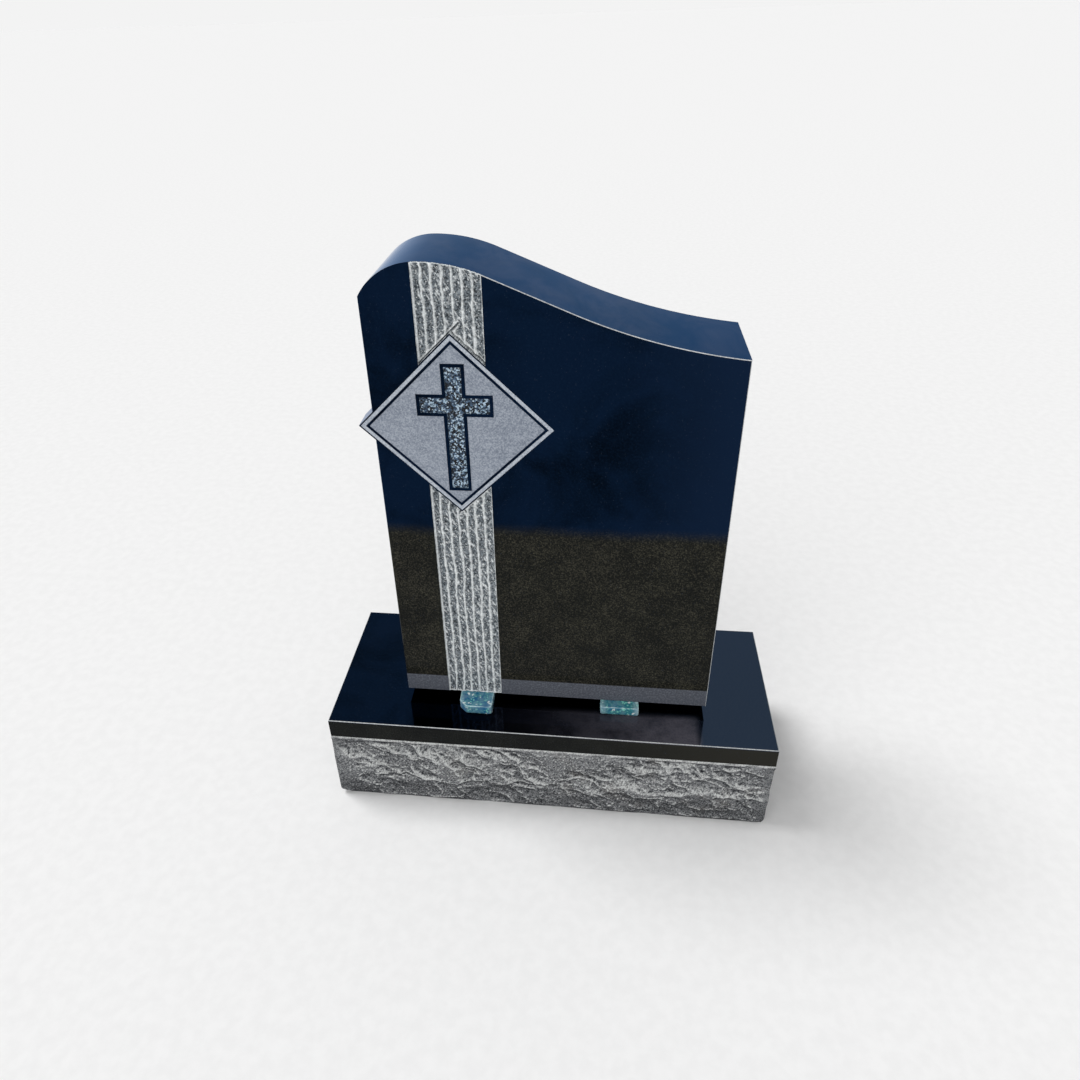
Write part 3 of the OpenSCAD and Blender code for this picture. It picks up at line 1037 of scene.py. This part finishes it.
def make_base():
    """The base: pitched sides, polished margin, fine chamfer, polished top, and an underside
    in the rock finish.
    """
    stone = Stone("base_stone", ("polished base", "arris", "rock"))
    distance, place, outward = rim_columns()
    tall, out, pale = pitched_sides(distance)
    xy = place + outward[None] * out[..., None]
    grid = closed(np.concatenate([xy, tall[..., None]], -1))
    stone.sheet(grid, "rock", closed(pale))

    def loop(inward, height):
        size = (1 - inward / (BASE_W / 2), 1 - inward / (BASE_D / 2))
        ring = np.concatenate([place * size, np.full((len(place), 1), height)], 1)
        return np.concatenate([ring, ring[:1]])
    rings = [grid[-1], loop(0, ROCK_H), loop(0, BASE_H - ARRIS), loop(ARRIS, BASE_H)]
    # The rock's shelf under the margin gets pale 0.8: a painted highlight.
    for (low, high), finish in zip(zip(rings, rings[1:]), ("rock", "polished base", "arris")):
        stone.sheet(np.stack([low, high]), finish, 0.8)
    stone.fan(rings[-1][:-1], "polished base")
    stone.fan(grid[0, :-1], "rock")
    return stone.build(Vector((0, 0, BASE_LO.z)), 40)


# --- Setting blocks ---

BLOCK_EDGE = 2.2 * MM         # how far a block's worn edges reach


def block_outline(half, breaks):
    """A block's rounded outline in plan and its outward directions, with its front corners
    broken off by the two lengths in breaks."""
    left, right = breaks
    corners = [(-half.x + left, -half.y), (half.x - right, -half.y), (half.x, -half.y + right),
               (half.x, half.y), (-half.x, half.y), (-half.x, -half.y + left)]
    outline = []
    for a, b in zip(np.array(corners), np.array(corners[1:] + corners[:1])):
        steps = max(3, round(float(np.linalg.norm(b - a)) / (1.6 * MM)))
        outline += [a + (b - a) * k / steps for k in range(steps)]
    smooth = np.array(outline)
    for _ in range(5):
        smooth = (np.roll(smooth, 1, 0) + 2 * smooth + np.roll(smooth, -1, 0)) / 4
    turn = np.roll(smooth, -1, 0) - np.roll(smooth, 1, 0)
    normal = np.stack([turn[:, 1], -turn[:, 0]], 1) / np.linalg.norm(turn, axis=1)[:, None]
    return smooth, normal


def block_rings(tall):
    """How far in and how high each ring lies, from the middle of the underside, over the worn
    edges, to the middle of the top."""
    edge = BLOCK_EDGE
    rings = [(12 * MM, 0), (edge, 0), (0.35 * edge, 0.35 * edge)]
    rings += [(0, h) for h in np.linspace(edge, tall - edge, 9)]
    rings += [(0.35 * edge, tall - 0.35 * edge), (edge, tall)]
    return rings + [(inward * MM, tall) for inward in (5, 9, 13, 17, 21, 25, 29)]


def make_block(node, breaks, pale_ends, seed):
    """A cast glass block: corners broken, edges worn, faces uneven and ends more or less pale."""
    lo, hi = (Vector(c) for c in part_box(node))
    half = (hi - lo) / 2
    middle = (lo + hi) / 2
    tall = 2 * half.z
    outline, normal = block_outline(half, breaks)
    layers, shades = [], []
    for inward, height in block_rings(tall):
        ring = outline * (1 - inward / half.x, 1 - inward / half.y)
        dent = rough(ring[:, 0] / (13 * MM), ring[:, 1] / (13 * MM), height / (8 * MM), seed, 3)
        on_side = inward <= BLOCK_EDGE
        on_top = height > tall / 2 and inward >= BLOCK_EDGE
        aside = 0.9 * MM * dent - 0.9 * MM if on_side else 0 * dent
        drop = 0.8 * MM * (1 - dent) if on_top else 0 * dent
        ring = ring + normal * aside[:, None]
        layers.append(np.concatenate([ring, (height - drop)[:, None]], 1))
        speckle = ramp(noise(ring[:, 0] / (6 * MM), ring[:, 1] / (6 * MM), 0, seed), -0.5, 0.5)
        # Pale along the rounded edges: partly chipped glass, partly a painted highlight.
        worn = 0.25 + 0.7 * speckle if 0 < inward < BLOCK_EDGE else 0.12 * speckle
        ends = pale_ends * ramp(np.abs(ring[:, 0]), half.x - 14 * MM, half.x - 3 * MM)
        shades.append(np.maximum(worn, ends * (0.35 + 0.65 * speckle)))
    grid = closed(np.array(layers))
    stone = Stone(node + "_glass", ("glass",))
    stone.sheet(grid, "glass", closed(np.array(shades)))
    stone.fan(grid[0, :-1], "glass")
    stone.fan(grid[-1, :-1], "glass")
    return stone.build(Vector((middle.x, middle.y, lo.z)), 50)


# --- The four pieces ---

def show(piece, node):
    """Put a piece on the one body, in the place of its CAD node."""
    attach(piece, "root")
    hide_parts(node)


show(make_tablet(), "tablet")
show(make_base(), "base")
show(make_block("setting_block_left", (14 * MM, 4 * MM), 0.3, 91),
     "setting_block_left")
show(make_block("setting_block_right", (2 * MM, 2 * MM), 0.9, 97),
     "setting_block_right")


# --- Stage: pale floor, soft light ---

def make_floor():
    mesh = bpy.data.meshes.new("floor")
    far = 80.0
    mesh.from_pydata([(-far, -far, 0), (far, -far, 0), (far, far, 0), (-far, far, 0)], [],
                     [(0, 1, 2, 3)])
    m = Looks("pale_floor", Specular_IOR_Level=0.0)
    tone = m.range(m.noise(45, 4.0), 0.3, 0.7)
    mesh.materials.append(m.finish(m.mix(tone, srgb(238, 238, 238), srgb(242, 242, 242)), 0.9))
    floor = bpy.data.objects.new("floor", mesh)
    bpy.context.collection.objects.link(floor)


def add_sun(name, toward, angle, strength):
    """A broad, soft sun: toward points from the object to the lamp."""
    data = bpy.data.lights.new(name, "SUN")
    data.angle = math.radians(angle)
    data.energy = strength
    lamp = bpy.data.objects.new(name, data)
    lamp.rotation_euler = Vector(toward).to_track_quat("Z", "Y").to_euler()
    bpy.context.collection.objects.link(lamp)


def add_world(fill, pale):
    """Even fill light, and a pale background where the camera or a reflection looks past."""
    world = bpy.data.worlds.new("studio")
    bpy.context.scene.world = world
    world.use_nodes = True
    tree = world.node_tree
    rays = tree.nodes.new("ShaderNodeLightPath").outputs
    seen = rays["Is Camera Ray"]
    for kind in ("Is Glossy Ray", "Is Transmission Ray"):
        either = tree.nodes.new("ShaderNodeMath")
        either.operation = "MAXIMUM"
        tree.links.new(seen, either.inputs[0])
        tree.links.new(rays[kind], either.inputs[1])
        seen = either.outputs[0]
    colour = tree.nodes.new("ShaderNodeMix")
    colour.data_type = "RGBA"
    tree.links.new(seen, colour.inputs["Factor"])
    colour.inputs[COLOUR_A].default_value = fill
    colour.inputs[COLOUR_B].default_value = pale
    tree.links.new(colour.outputs[COLOUR_OUT], tree.nodes["Background"].inputs["Color"])


make_floor()
add_world((0.38, 0.38, 0.38, 1.0), srgb(243, 243, 243))
add_sun("key_above", (-0.45, 0.12, 0.88), 22, 1.62)
add_sun("broad_front", (-0.25, -0.80, 0.55), 70, 1.14)

bpy.context.scene.view_settings.view_transform = "Standard"
